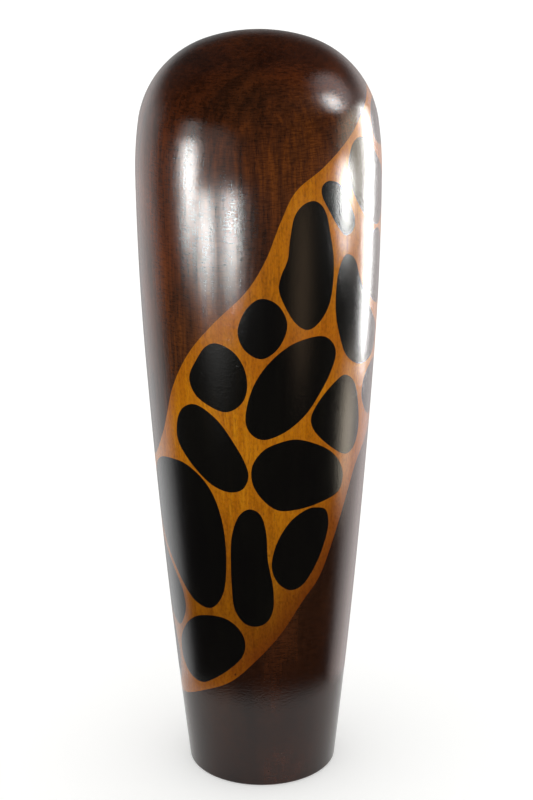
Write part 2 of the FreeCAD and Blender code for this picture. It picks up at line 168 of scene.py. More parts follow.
PEBBLES = {
    # front, from the top of the band down
    "edge_top": [(81, 460), (72, 456), (68, 448), (70, 438), (78, 432), (90, 430), (101, 434),
                 (104, 446), (96, 457)],
    "top_right": [(56, 442), (49, 440), (45, 430), (45, 419), (49, 407), (55, 396), (62, 388),
                  (73, 383), (82, 388), (85, 400), (82, 414), (73, 425), (65, 435)],
    "drop": [(33, 420), (39, 417), (44, 407), (49, 394), (48, 386), (43, 384), (38, 391),
             (33, 402), (29.5, 411), (29.5, 417)],
    "pear": [(25, 409), (29, 406), (32, 399), (34, 387), (36, 372), (36, 356), (34, 342),
             (29, 332), (23, 328), (17, 333), (12, 344), (9, 355), (10, 364), (13, 374),
             (14, 386), (16, 400), (20, 407)],
    "long": [(44, 372), (50, 367), (54, 355), (60, 341), (69, 327), (78, 315), (78, 302),
             (68, 296), (56, 297), (46, 306), (41, 320), (38, 336), (38, 354), (40, 366)],
    "edge_middle": [(65, 380), (74, 380), (82, 370), (88, 354), (88, 339), (81, 330),
                    (73, 332), (66, 338), (60, 349), (58, 362), (60, 374)],
    "round": [(1, 350), (9, 345), (13, 332), (9, 318), (1, 311), (-7, 317), (-10, 329),
              (-6, 343)],
    "egg": [(-20, 320), (-12, 315), (-7, 304), (-6, 291), (-9, 281), (-16, 275), (-24, 277),
            (-33, 284), (-36, 295), (-31, 308), (-26, 317)],
    "diagonal": [(29, 323), (36, 318), (39, 309), (36, 297), (30, 284), (23, 272), (13, 262),
                 (2, 257), (-5, 262), (-7, 273), (-3, 293), (5, 309), (16, 320)],
    "triangle": [(46, 293), (54, 285), (59, 269), (61, 251), (57, 240), (49, 238), (37, 248),
                 (28, 260), (26, 270), (31, 281), (39, 290)],
    "edge_low": [(72, 292), (65, 287), (62, 279), (63, 270), (70, 259), (79, 255), (87, 260),
                 (92, 270), (89, 284), (81, 292)],
    "bean": [(-35, 277), (-28, 275), (-20, 267), (-13, 254), (-8, 242), (-6, 232), (-9, 223),
             (-16, 220), (-25, 223), (-34, 231), (-43, 242), (-47, 251), (-46, 263), (-42, 272)],
    "wide": [(18, 256), (29, 251), (39, 243), (46, 233), (49, 223), (46, 213), (33, 209),
             (19, 207), (9, 208), (1, 216), (-4, 227), (-4, 239), (1, 249), (8, 254)],
    "tall": [(-54, 234), (-42, 234), (-31, 226), (-24, 212), (-20, 190), (-20, 163), (-23, 145),
             (-31, 134), (-42, 135), (-51, 143), (-62, 157), (-74, 172), (-82, 188), (-84, 205),
             (-77, 220), (-66, 230)],
    "edge_left": [(-54, 138), (-58, 146), (-66, 156), (-76, 166), (-86, 168), (-93, 158),
                  (-94, 140), (-88, 124), (-76, 114), (-64, 110), (-57, 117), (-53, 127)],
    "bar": [(-6, 209), (0, 205), (3, 192), (4, 172), (7, 152), (7, 136), (3, 127), (-4, 124),
            (-11, 127), (-16, 137), (-17, 152), (-17, 170), (-16, 188), (-12, 203)],
    "leaf": [(32, 206), (38, 202), (40, 190), (36, 173), (29, 158), (23, 151), (16, 150),
             (9, 157), (6, 169), (9, 185), (16, 199), (25, 206)],
    "low": [(-33, 128), (-22, 128), (-14, 122), (-10, 112), (-12, 101), (-21, 90), (-33, 80),
            (-44, 74), (-56, 76), (-64, 85), (-64, 98), (-56, 112), (-45, 123)],
}

# Round the back each pebble grows round a short spine until it nearly meets its neighbours:
# (degrees, millimetres up, spine length in millimetres, lean from upright in degrees).
BACK_SPINES = [
    (126, 421, 22, -45), (147, 379, 24, -20), (165, 333, 26, -30), (186, 287, 22, -40),
    (209, 248, 20, -50), (236, 208, 26, -30), (107, 384, 30, -15), (129, 340, 34, 8),
    (150, 290, 34, -8), (172, 240, 34, -22), (196, 203, 26, 15), (216, 164, 32, -25),
    (107, 312, 26, -25), (134, 256, 28, -20), (154, 201, 34, -15), (178, 152, 34, -28),
    (203, 108, 30, -40), (229, 88, 24, -80), (242, 138, 30, 30), (256, 172, 20, 10),
    (257, 100, 24, -20),
]
PEBBLE_GAP = 4.8 * MM         # least room from a grown outline to any other
PEBBLE_RAYS = 32             # directions in which a pebble grows
EGG_HALF_WIDTH = 16 * MM
EGG_END = 14 * MM            # how far the egg reaches past each end of its spine
GROWTH_STEPS = np.arange(5.0, 60.0, 0.4) * MM
WELD_GRID = 2e-3 * MM
WELD_REACH = 0.02 * MM

FLAT_RADIUS = 70 * MM        # radius at which the side is unrolled
TURN = 2 * math.pi * FLAT_RADIUS
OUTLINE_SPACING = 1.6 * MM
GRID_SPACING = 4.5 * MM
RIM_WIDTH = 30 * MM          # how far the red stain creeps into the amber from its lower edge
COLUMNS = 98
JOINT_GROOVE_HALF = 0.30 * MM
JOINT_GROOVE_DEPTH = 0.02 * MM
CAP_START = length_at(0.956 * HEIGHT)


def flat(degrees, height_mm):
    """Unrolled place of a point given in degrees and millimetres."""
    return math.radians(degrees) * FLAT_RADIUS, float(length_at(height_mm * MM))


def smooth_curve(points, closed):
    """Points about OUTLINE_SPACING apart along a smooth curve through these points."""
    points = [np.array(point) for point in points]
    count = len(points)
    path = []
    for index in range(count if closed else count - 1):
        before = points[(index - 1) % count] if closed or index else points[0]
        start = points[index]
        end = points[(index + 1) % count]
        last = not closed and index + 2 >= count
        after = end if last else points[(index + 2) % count]
        steps = max(2, round(float(np.linalg.norm(end - start)) / OUTLINE_SPACING))
        for step in range(steps):
            part = step / steps
            path.append(0.5 * (
                2 * start + (end - before) * part
                + (2 * before - 5 * start + 4 * end - after) * part ** 2
                + (3 * start - before - 3 * end + after) * part ** 3))
    if not closed:
        path.append(points[-1])
    return path


def grown_pebble(spine, others, edges):
    """Outline of the pebble round one spine, kept clear of the other spines and of drawn edges."""
    middle = spine.mean(axis=0)
    turns = np.arange(PEBBLE_RAYS) * math.tau / PEBBLE_RAYS
    reach = np.empty(PEBBLE_RAYS)
    for number, turn in enumerate(turns):
        way = np.array([math.cos(turn), math.sin(turn)])
        places = middle + GROWTH_STEPS[:, None] * way
        own = spine_distance(places, spine)
        room = np.min([spine_distance(places, other) for other in others], axis=0) - own
        clear = room > PEBBLE_GAP
        for index in np.nonzero(clear)[0]:
            if edges.find((*places[index], 0.0))[2] < PEBBLE_GAP:
                clear[index:] = False
                break
        blocked = np.nonzero(~clear)[0]
        reach[number] = GROWTH_STEPS[blocked[0] if len(blocked) else -1]
    # Keep the general form of an egg on the spine, swelled smoothly towards the free sides.
    along = (spine[1] - spine[0]) / np.linalg.norm(spine[1] - spine[0])
    cosines = np.cos(turns) * along[0] + np.sin(turns) * along[1]
    half_length = np.linalg.norm(spine[1] - spine[0]) / 2 + EGG_END
    egg = half_length * EGG_HALF_WIDTH / np.hypot(
        EGG_HALF_WIDTH * cosines, half_length * np.sqrt(1 - cosines ** 2))
    free = reach / egg
    swell = free
    for _ in range(6):
        swell = np.minimum(swell, 1.02 * free)
        swell = sum(weight * np.roll(swell, shift) for shift, weight in
                    ((-2, 0.11), (-1, 0.22), (0, 0.34), (1, 0.22), (2, 0.11)))
    swelled = egg * swell
    corners = middle + swelled[:, None] * np.stack([np.cos(turns), np.sin(turns)], axis=1)
    return smooth_curve(list(corners[::2]), closed=True)


def spine_distance(places, spine):
    """Distance of each place from a spine, a straight line between two ends."""
    start, end = spine
    along = end - start
    part = np.clip((places - start) @ along / (along @ along), 0.0, 1.0)
    return np.linalg.norm(places - start - part[:, None] * along, axis=1)


def band_edge(points):
    """One edge of the band, all the way round and a little past it at both ends."""
    round_again = [(degrees + 360 * lap, height) for lap in (-1, 0, 1)
                   for degrees, height in points]
    return smooth_curve([flat(*point) for point in round_again], closed=False)


def inside(places, loop):
    """Which of these places lie inside a closed outline."""
    loop = np.asarray(loop)
    found = np.zeros(len(places), dtype=bool)
    low, high = loop.min(axis=0), loop.max(axis=0)
    near = np.nonzero(((places > low) & (places < high)).all(axis=1))[0]
    x, y = places[near, 0], places[near, 1]
    hit = np.zeros(len(near), dtype=bool)
    for start, end in zip(loop, np.roll(loop, -1, axis=0)):
        if start[1] == end[1]:
            continue
        crosses = (start[1] > y) != (end[1] > y)
        edge_x = start[0] + (y - start[1]) * (end[0] - start[0]) / (end[1] - start[1])
        hit ^= crosses & (x < edge_x)
    found[near] = hit
    return found


# ---------------------------------------------------------------------------------------------
# The skin: one triangle mesh of the whole outside that follows every edge of the design
# ---------------------------------------------------------------------------------------------

BROWN, AMBER, BLACK = range(3)


def pebble_loops(edges):
    """Every pebble outline: the drawn ones at the front and the grown ones round the back."""
    loops = [smooth_curve([flat(*point) for point in points], closed=True)
             for points in PEBBLES.values()]
    loops = [np.array(loop) for loop in loops]
    spines = []
    for degrees, height, length, lean in BACK_SPINES:
        lean = math.radians(lean)
        half = np.array([math.sin(lean), math.cos(lean)]) * length / 2 * MM
        middle = np.array(flat(degrees, height))
        spines.append(np.array([middle - half, middle + half]))
    laid = np.concatenate([*loops, *(loop + np.array([TURN, 0.0]) for loop in loops),
                           *(np.array(edge) for edge in edges)])
    tree = KDTree(len(laid))
    for index, place in enumerate(laid):
        tree.insert((*place, 0.0), index)
    tree.balance()
    for spine in spines:
        others = [other for other in spines if other is not spine]
        loops.append(np.array(grown_pebble(spine, others, tree)))
    return loops


def column_places(row):
    """Evenly spaced places round the stick at one length along the outline."""
    return [(-TURN / 2 + TURN * column / COLUMNS, row) for column in range(COLUMNS + 1)]


def triangulate_side(loops, edges):
    """Triangles of the unrolled side between the foot rounding and the crown cap."""
    joint = float(length_at(JOINT_HEIGHT))
    groove = [joint - JOINT_GROOVE_HALF, joint, joint + JOINT_GROOVE_HALF]
    verts, lines = [], []

    def add_path(path, closed):
        first = len(verts)
        verts.extend(tuple(place) for place in path)
        lines.extend((first + i, first + i + 1) for i in range(len(path) - 1))
        if closed:
            lines.append((first + len(path) - 1, first))

    laps = (-TURN, 0.0, TURN)
    for loop in loops:
        for lap in laps:
            moved = loop + np.array([lap, 0.0])
            if moved[:, 0].max() > -TURN / 2 and moved[:, 0].min() < TURN / 2:
                add_path(moved, closed=True)
    for edge in edges:
        add_path([place for place in edge if abs(place[0]) < TURN / 2 + 4 * MM], closed=False)
    drawn = KDTree(len(verts))
    for index, place in enumerate(verts):
        drawn.insert((*place, 0.0), index)
    drawn.balance()

    for row in [FOOT_END, *groove, CAP_START]:
        add_path(column_places(row), closed=False)
    side_rows = np.arange(FOOT_END, CAP_START, GRID_SPACING)
    for side in (-TURN / 2, TURN / 2):
        add_path([(side, row) for row in [*side_rows, CAP_START]], closed=False)

    keep_off = 0.45 * GRID_SPACING
    row_count = int((CAP_START - FOOT_END) / (0.87 * GRID_SPACING))
    for number in range(1, row_count):
        row = FOOT_END + number * (CAP_START - FOOT_END) / row_count
        if min(abs(row - line) for line in groove) < keep_off:
            continue
        shift = 0.5 * (number % 2)
        for column in range(COLUMNS):
            place = (-TURN / 2 + TURN * (column + shift) / COLUMNS, row)
            at_seam = TURN / 2 - abs(place[0]) < keep_off
            if not at_seam and drawn.find((*place, 0.0))[2] > keep_off:
                verts.append(place)

    flat_verts = [Vector(place) for place in verts]
    places, _, faces, *_ = delaunay_2d_cdt(flat_verts, lines, [], 0, 1e-7)
    return np.array([tuple(place) for place in places]), np.array([tuple(f) for f in faces])


def side_places(flat_places):
    """Places and normals in space of places on the unrolled side."""
    place, normal = outline(flat_places[:, 1])
    turn = flat_places[:, 0] / FLAT_RADIUS
    spread = np.stack([np.sin(turn), -np.cos(turn)], axis=1)
    where = np.column_stack([place[:, :1] * spread, place[:, 1]])
    facing = np.column_stack([normal[:, :1] * spread, normal[:, 1]])
    return where, facing


def weld(where, facing, rims, triangles):
    """Join vertices that lie at the same place."""
    keys = np.round(where / WELD_GRID).astype(np.int64)
    _, first, renamed = np.unique(keys, axis=0, return_index=True, return_inverse=True)
    renamed = renamed.reshape(-1)
    tree = KDTree(len(first))
    for index, vertex in enumerate(first):
        tree.insert(where[vertex], index)
    tree.balance()
    target = np.arange(len(first))
    for index, vertex in enumerate(first):
        nearest = min(found[1] for found in tree.find_range(where[vertex], WELD_REACH))
        target[index] = min(nearest, index)
    triangles = target[renamed[triangles]]
    good = ((triangles[:, 0] != triangles[:, 1]) & (triangles[:, 1] != triangles[:, 2])
            & (triangles[:, 2] != triangles[:, 0]))
    return where[first], facing[first], rims[first], triangles, good


def build_skin():
    """The whole outside: places, normals, triangles, and each triangle's finish and shell."""
    edges = [band_edge(BAND_TOP_EDGE), band_edge(BAND_BOTTOM_EDGE)]
    loops = pebble_loops(edges)
    flat_places, triangles = triangulate_side(loops, edges)
    middles = flat_places[triangles].mean(axis=1)
    kept = (np.abs(middles[:, 0]) < TURN / 2) & (middles[:, 1] > FOOT_END)
    kept &= middles[:, 1] < CAP_START
    triangles, middles = triangles[kept], middles[kept]

    top, bottom = (np.array(edge) for edge in edges)
    rim_line = KDTree(len(bottom))
    for index, place in enumerate(bottom):
        rim_line.insert((*place, 0.0), index)
    rim_line.balance()
    rim_gap = np.array([rim_line.find((*place, 0.0))[2] for place in flat_places])
    under_top = middles[:, 1] < np.interp(middles[:, 0], top[:, 0], top[:, 1])
    over_bottom = middles[:, 1] > np.interp(middles[:, 0], bottom[:, 0], bottom[:, 1])
    finish = np.where(under_top & over_bottom, AMBER, BROWN)
    for loop in loops:
        for lap in (-TURN, 0.0, TURN):
            finish[inside(middles, loop + np.array([lap, 0.0]))] = BLACK

    # Rings below and above the triangulated side: the foot rounding and the crown.
    blocks = [side_places(flat_places)]
    faces = [triangles]
    finishes = [finish]
    middle_lengths = [middles[:, 1]]
    crown_rows = np.linspace(CAP_START, OUTLINE_LENGTH, 17)
    for rows in (np.linspace(0.0, FOOT_END, 6), crown_rows):
        first = sum(len(block[0]) for block in blocks)
        ring = np.array([place for row in rows for place in column_places(row)])
        blocks.append(side_places(ring))
        for number in range(len(rows) - 1):
            low = first + number * (COLUMNS + 1) + np.arange(COLUMNS)
            high = low + COLUMNS + 1
            quads = [np.stack([low, low + 1, high + 1], axis=1),
                     np.stack([low, high + 1, high], axis=1)]
            faces.append(np.concatenate(quads))
            finishes.append(np.full(2 * COLUMNS, BROWN))
            middle_lengths.append(np.full(2 * COLUMNS, rows[number:number + 2].mean()))

    rims = np.zeros(sum(len(block[0]) for block in blocks))
    rims[:len(rim_gap)] = np.clip(1 - rim_gap / RIM_WIDTH, 0.0, 1.0)
    where = np.concatenate([block[0] for block in blocks])
    facing = np.concatenate([block[1] for block in blocks])
    where, facing, rims, triangles, good = weld(where, facing, rims, np.concatenate(faces))
    finish = np.concatenate(finishes)[good]
    upper = (np.concatenate(middle_lengths) > float(length_at(JOINT_HEIGHT)))[good]

    # A fine groove where the two shells meet.
    at_joint = np.abs(where[:, 2] - JOINT_HEIGHT) < WELD_REACH
    where[at_joint] -= facing[at_joint] * JOINT_GROOVE_DEPTH
    return where, facing, triangles[good], finish, upper, at_joint, rims


def skin_piece(name, skin, chosen, thickness):
    """A thin closed piece of the chosen triangles, with true normals on its outer face."""
    where, facing, triangles, _, _, at_joint, rims = skin
    triangles = triangles[chosen]
    used, local = np.unique(triangles, return_inverse=True)
    local = local.reshape(-1, 3)
    count = len(used)
    outer, normals = where[used], facing[used]
    verts = np.concatenate([outer, outer - normals * thickness])

    directed = np.concatenate([local[:, [0, 1]], local[:, [1, 2]], local[:, [2, 0]]])
    seen = {tuple(edge) for edge in directed.tolist()}
    rim = [(a, b) for a, b in seen if (b, a) not in seen]
    rim.sort()
    walls = [(b, a, a + count, b + count) for a, b in rim]
    faces = local.tolist() + (local[:, ::-1] + count).tolist() + walls

    mesh = bpy.data.meshes.new(name)
    mesh.from_pydata(verts.tolist(), [], faces)
    mesh.update()
    mesh.polygons.foreach_set("use_smooth", [True] * len(faces))
    in_groove = at_joint[used]
    loop_normals = []
    for face in mesh.polygons:
        smooth = face.index < len(local) and not in_groove[list(face.vertices)].any()
        for vertex in face.vertices:
            loop_normals.append(tuple(normals[vertex]) if smooth else tuple(face.normal))
    mesh.normals_split_custom_set(loop_normals)
    rim = mesh.attributes.new("lower_rim", "FLOAT", "POINT")
    rim.data.foreach_set("value", np.tile(rims[used], 2).astype(np.float32))
    return add_piece(name, mesh)


def add_piece(name, mesh):
    """A new object with this mesh, fixed to the part's one still body."""
    piece = bpy.data.objects.new(name, mesh)
    bpy.context.scene.collection.objects.link(piece)
    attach(piece, "root")
    return piece


# ---------------------------------------------------------------------------------------------
# The bare wood inside the skin
# ---------------------------------------------------------------------------------------------

SKIN_THICKNESS = 0.35 * MM
WOOD_INSET = 0.25 * MM


def turned_piece(name, profile, segments=128):
    """A closed solid turned from a profile of (radius, height) points, axis to axis."""
    verts, rings = [], []
    for radius, height in profile:
        if radius < 1e-7:
            rings.append([len(verts)])
            verts.append((0.0, 0.0, height))
            continue
        rings.append(list(range(len(verts), len(verts) + segments)))
        for index in range(segments):
            turn = math.tau * index / segments
            verts.append((radius * math.cos(turn), radius * math.sin(turn), height))
    faces = []
    for low, high in zip(rings, rings[1:]):
        for index in range(segments):
            after = (index + 1) % segments
            corners = [low[index % len(low)], low[after % len(low)],
                       high[after % len(high)], high[index % len(high)]]
            face = list(dict.fromkeys(corners))
            if len(face) > 2:
                faces.append(face)
    mesh = bpy.data.meshes.new(name)
    mesh.from_pydata(verts, [], faces)
    mesh.update()
    mesh.polygons.foreach_set("use_smooth", [True] * len(faces))
    mesh.set_sharp_from_angle(angle=math.radians(35))
    return add_piece(name, mesh)


def wood_outside(first_height, last_height, rows):
    """The outline just under the skin, between two heights."""
    lengths = np.linspace(length_at(first_height), length_at(last_height), rows)
    place, normal = outline(lengths)
    return [tuple(point) for point in place - normal * WOOD_INSET]


SOCKET_RADIUS = 59.5 * MM
SOCKET_DEPTH = 12.3 * MM
TENON_RADIUS = 59.4 * MM
BORE_MOUTH_RADIUS = 56 * MM
SPINDLE_SOCKET_RADIUS = 8.1 * MM
UPPER_SOCKET_ROOF = 494 * MM
LOWER_SOCKET_FLOOR = 8 * MM
FLOOR_HEIGHT = 14 * MM
FLOOR_RADIUS = 40 * MM
FLOOR_ROUNDING = 6 * MM
FOOT_RECESS_RADIUS = 36 * MM
FOOT_RECESS_DEPTH = 1.5 * MM


def upper_wood_profile():
    """Crown to joint outside, then back up through the socket, bore and spindle socket."""
    outside = wood_outside(JOINT_HEIGHT, HEIGHT, 90)
    socket_top = JOINT_HEIGHT + SOCKET_DEPTH
    lengths = np.linspace(length_at(BELLY_HEIGHT), OUTLINE_LENGTH, 40)
    place, normal = outline(lengths)
    dome = [tuple(point) for point in place - normal * WALL if point[0] > SPINDLE_SOCKET_RADIUS]
    dome_height = dome[-1][1]
    inside_path = [
        (SOCKET_RADIUS, JOINT_HEIGHT),
        (SOCKET_RADIUS, socket_top),
        (BORE_MOUTH_RADIUS, socket_top),
        *dome,
        (SPINDLE_SOCKET_RADIUS, dome_height),
        (SPINDLE_SOCKET_RADIUS, UPPER_SOCKET_ROOF),
        (0.0, UPPER_SOCKET_ROOF),
    ]
    outside[-1] = (0.0, outside[-1][1])
    return outside[::-1] + inside_path


def lower_wood_profile():
    """Floor and bore inside, over the tenon, down the outside and across the foot."""
    foot_place = outline([0.0])[0][0]
    rounding_steps = [math.radians(-90 + step * 83 / 6) for step in range(7)]
    corner = (FLOOR_RADIUS - 5.3 * MM, FLOOR_HEIGHT + FLOOR_ROUNDING)
    fillet = [(corner[0] + FLOOR_ROUNDING * math.cos(turn),
               corner[1] + FLOOR_ROUNDING * math.sin(turn)) for turn in rounding_steps]
    return [
        (0.0, LOWER_SOCKET_FLOOR),
        (SPINDLE_SOCKET_RADIUS, LOWER_SOCKET_FLOOR),
        (SPINDLE_SOCKET_RADIUS, FLOOR_HEIGHT),
        *fillet,
        (BORE_MOUTH_RADIUS, TENON_TOP),
        (TENON_RADIUS - 0.6 * MM, TENON_TOP),
        (TENON_RADIUS, TENON_TOP - 0.6 * MM),
        (TENON_RADIUS, JOINT_HEIGHT),
        *wood_outside(JOINT_HEIGHT, FOOT_ROUNDING, 40),
        (foot_place[0], 0.0),
        (FOOT_RECESS_RADIUS, 0.0),
        (FOOT_RECESS_RADIUS, FOOT_RECESS_DEPTH),
        (0.0, FOOT_RECESS_DEPTH),
    ]


# ---------------------------------------------------------------------------------------------
# Materials
# ---------------------------------------------------------------------------------------------

def linear(code):
    """A linear colour from a hexadecimal sRGB one."""
    parts = [int(code[i:i + 2], 16) / 255 for i in (1, 3, 5)]
    return (*[p / 12.92 if p <= 0.04045 else ((p + 0.055) / 1.055) ** 2.4 for p in parts], 1.0)


class Finish:
    """A Principled material under construction; each method returns an output socket."""

    def __init__(self, name, **values):
        self.material = bpy.data.materials.new(name)
        self.material.use_nodes = True
        self.tree = self.material.node_tree
        self.shader = self.tree.nodes["Principled BSDF"]
        for socket, value in values.items():
            self.shader.inputs[socket.replace("_", " ")].default_value = value
        self.place = self.tree.nodes.new("ShaderNodeTexCoord").outputs["Object"]

    def put(self, target, value):
        """Link a socket to the target, or set the target to a plain value."""
        if isinstance(value, bpy.types.NodeSocket):
            self.tree.links.new(value, target)
        else:
            target.default_value = value

    def stretched(self, x, y, z):
        """Object coordinates, scaled."""
        node = self.tree.nodes.new("ShaderNodeMapping")
        node.inputs["Scale"].default_value = (x, y, z)
        self.put(node.inputs["Vector"], self.place)
        return node.outputs["Vector"]

    def noise(self, vector, scale, detail=2.0, roughness=0.5, distortion=0.0):
        """Noise between 0 and 1, with this many waves to the metre before stretching."""
        node = self.tree.nodes.new("ShaderNodeTexNoise")
        self.put(node.inputs["Vector"], vector)
        node.inputs["Scale"].default_value = scale
        node.inputs["Detail"].default_value = detail
        node.inputs["Roughness"].default_value = roughness
        node.inputs["Distortion"].default_value = distortion
        return node.outputs["Fac"]

    def ramp(self, value, stops):
        """Colours or greys at positions; stops are (position, colour code or grey)."""
        node = self.tree.nodes.new("ShaderNodeValToRGB")
        elements = node.color_ramp.elements
        while len(elements) < len(stops):
            elements.new(1.0)
        for element, (position, colour) in zip(elements, stops):
            element.position = position
            grey = isinstance(colour, (int, float))
            element.color = (colour, colour, colour, 1.0) if grey else linear(colour)
        self.put(node.inputs["Fac"], value)
        return node.outputs["Color"]

    def sums(self, operation, first, second):
        """One arithmetic step on two values."""
        node = self.tree.nodes.new("ShaderNodeMath")
        node.operation = operation
        self.put(node.inputs[0], first)
        self.put(node.inputs[1], second)
        return node.outputs["Value"]

    def mix(self, factor, first, second, blend="MIX"):
        """Blend of two colours, each a socket or a colour code."""
        node = self.tree.nodes.new("ShaderNodeMix")
        node.data_type = "RGBA"
        node.blend_type = blend
        self.put(node.inputs["Factor"], factor)
        self.put(node.inputs[6], linear(first) if isinstance(first, str) else first)
        self.put(node.inputs[7], linear(second) if isinstance(second, str) else second)
        return node.outputs[2]

    def bump(self, height, strength, distance, normal=None):
        """A normal raised by a height between 0 and 1, on top of another normal if given."""
        node = self.tree.nodes.new("ShaderNodeBump")
        node.inputs["Strength"].default_value = strength
        node.inputs["Distance"].default_value = distance
        self.put(node.inputs["Height"], height)
        if normal is not None:
            self.put(node.inputs["Normal"], normal)
        return node.outputs["Normal"]


def wood_grain(finish):
    """Fibre streaks, open pores and broad mottling shared by every finish of the stick."""
    streaks = finish.noise(finish.stretched(1, 1, 0.05), 330, 4.0, 0.6, 0.3)
    pores = finish.noise(finish.stretched(1, 1, 0.10), 1100, 2.0, 0.55)
    mottle = finish.noise(finish.stretched(1, 1, 0.45), 16, 3.0, 0.55, 0.6)
    return streaks, pores, mottle


def height_tone(finish, stops):
    """A grey that follows the height up the stick, 0 at the foot and 1 at the crown."""
    split = finish.tree.nodes.new("ShaderNodeSeparateXYZ")
    finish.put(split.inputs["Vector"], finish.place)
    return finish.ramp(finish.sums("DIVIDE", split.outputs["Z"], HEIGHT), stops)


def lacquer_surface(finish, streaks, pores):
    """Clear gloss lacquer brushed along the grain: fine fibre lines, sunk pores, faint ripple."""
    shader = finish.shader
    shader.inputs["Roughness"].default_value = 0.15
    shader.inputs["Specular IOR Level"].default_value = 0.38
    shader.inputs["Anisotropic"].default_value = 0.75
    tangent = finish.tree.nodes.new("ShaderNodeTangent")
    tangent.direction_type = "RADIAL"
    tangent.axis = "Z"
    finish.put(shader.inputs["Tangent"], tangent.outputs["Tangent"])
    sunk = finish.ramp(pores, [(0.30, 0.0), (0.46, 1.0)])
    specks = finish.noise(finish.stretched(1, 1, 0.6), 1300, 2.0, 0.6)
    ripple = finish.noise(finish.stretched(1, 1, 0.35), 70, 1.0, 0.4)
    normal = finish.bump(ripple, 0.06, 1.0 * MM)
    normal = finish.bump(specks, 0.75, 0.12 * MM, normal)
    normal = finish.bump(streaks, 0.14, 0.20 * MM, normal)
    normal = finish.bump(sunk, 0.14, 0.08 * MM, normal)
    finish.put(shader.inputs["Normal"], normal)


def make_brown_stain():
    """Dark brown stain: soft mottling, upright fibres, a fine cross figure, open pores, and painted
    shade that follows the height.
    """
    finish = Finish("brown_stain")
    streaks, pores, mottle = wood_grain(finish)
    cross = finish.noise(finish.stretched(1, 1, 6), 210, 3.0, 0.6)
    calm = height_tone(finish, [(0.0, 0.12), (0.3, 0.14), (0.5, 0.4), (0.88, 0.4), (0.96, 0.16)])
    tone = finish.sums("ADD", finish.sums("MULTIPLY", mottle, 0.6),
                       finish.sums("MULTIPLY", finish.sums("SUBTRACT", streaks, 0.5), calm))
    # Painted shade: the brown is darker from the foot up to about a third of the height and near
    # the crown, and lightest round the belly.
    brown_painted_shade = height_tone(finish, [(0.0, 0.60), (0.35, 0.61), (0.50, 0.67), (0.68, 0.76),
                                (0.86, 0.76), (0.95, 0.67)])
    tone = finish.sums("ADD", tone, finish.sums("SUBTRACT", brown_painted_shade, 0.5))
    colour = finish.ramp(tone, [
        (0.34, "#1c0d06"), (0.46, "#2c170a"), (0.54, "#42220d"), (0.64, "#5e310e"),
        (0.78, "#774214"),
    ])
    redness = finish.noise(finish.stretched(1, 1, 0.7), 7, 2.0, 0.5)
    red_mask = finish.ramp(redness, [(0.42, 0.0), (0.64, 0.7)])
    colour = finish.mix(red_mask, colour, finish.mix(1.0, colour, "#d8a0a0", "MULTIPLY"))
    cross_mask = finish.ramp(cross, [(0.38, 0.58), (0.56, 1.04)])
    colour = finish.mix(1.0, colour, cross_mask, "MULTIPLY")
    colour = finish.mix(finish.ramp(pores, [(0.32, 0.5), (0.42, 0.0)]), colour, "#120705")
    lacquer_surface(finish, streaks, pores)
    finish.put(finish.shader.inputs["Base Color"], colour)
    return finish.material


def make_amber_stain():
    """Amber stain, redder along the lower edge of the band, with painted shade that darkens its
    lower part.
    """
    finish = Finish("amber_stain")
    streaks, pores, mottle = wood_grain(finish)
    tone = finish.sums("ADD", finish.sums("MULTIPLY", mottle, 0.4),
                       finish.sums("MULTIPLY", streaks, 0.6))
    colour = finish.ramp(tone, [
        (0.32, "#7a4200"), (0.46, "#985700"), (0.56, "#a36000"), (0.70, "#b37206"),
    ])
    orange = finish.ramp(finish.noise(finish.place, 11, 2.0, 0.5), [(0.48, 0.0), (0.68, 0.6)])
    colour = finish.mix(orange, colour, "#8e4605")
    rim = finish.tree.nodes.new("ShaderNodeAttribute")
    rim.attribute_name = "lower_rim"
    stained = finish.sums("MULTIPLY", rim.outputs["Fac"],
                          height_tone(finish, [(0.12, 0.1), (0.2, 0.9), (0.34, 0.9), (0.5, 0.35)]))
    colour = finish.mix(stained, colour, "#6e3006")
    # Painted shade: the amber is darkened low on the stick, most of all about a quarter of the way
    # up, and full bright above half height.
    amber_painted_shade = height_tone(finish, [(0.12, 0.76), (0.24, 0.54), (0.32, 0.66), (0.42, 0.88),
                                 (0.55, 1.0), (1.0, 1.0)])
    colour = finish.mix(1.0, colour, amber_painted_shade, "MULTIPLY")
    flecks = finish.noise(finish.stretched(1, 1, 0.6), 260, 1.0, 0.4)
    fleck_mask = finish.ramp(flecks, [(0.20, 0.8), (0.235, 0.0)])
    grit = finish.noise(finish.stretched(1, 1, 0.5), 800, 2.0, 0.6)
    colour = finish.mix(1.0, colour, finish.ramp(grit, [(0.30, 0.72), (0.55, 1.06)]), "MULTIPLY")
    colour = finish.mix(fleck_mask, colour, "#2c1406")
    colour = finish.mix(finish.ramp(pores, [(0.32, 0.35), (0.40, 0.0)]), colour, "#5a2c06")
    lacquer_surface(finish, streaks, pores)
    finish.put(finish.shader.inputs["Base Color"], colour)
    return finish.material


def make_black_lacquer():
    """Black paint with a trace of the brown wood in it."""
    finish = Finish("black_lacquer")
    streaks, pores, mottle = wood_grain(finish)
    tone = finish.sums("ADD", finish.sums("MULTIPLY", mottle, 0.5),
                       finish.sums("MULTIPLY", streaks, 0.5))
    colour = finish.ramp(tone, [(0.35, "#050404"), (0.6, "#090806"), (0.8, "#140e08")])
    lacquer_surface(finish, streaks, pores)
    finish.put(finish.shader.inputs["Base Color"], colour)
    return finish.material


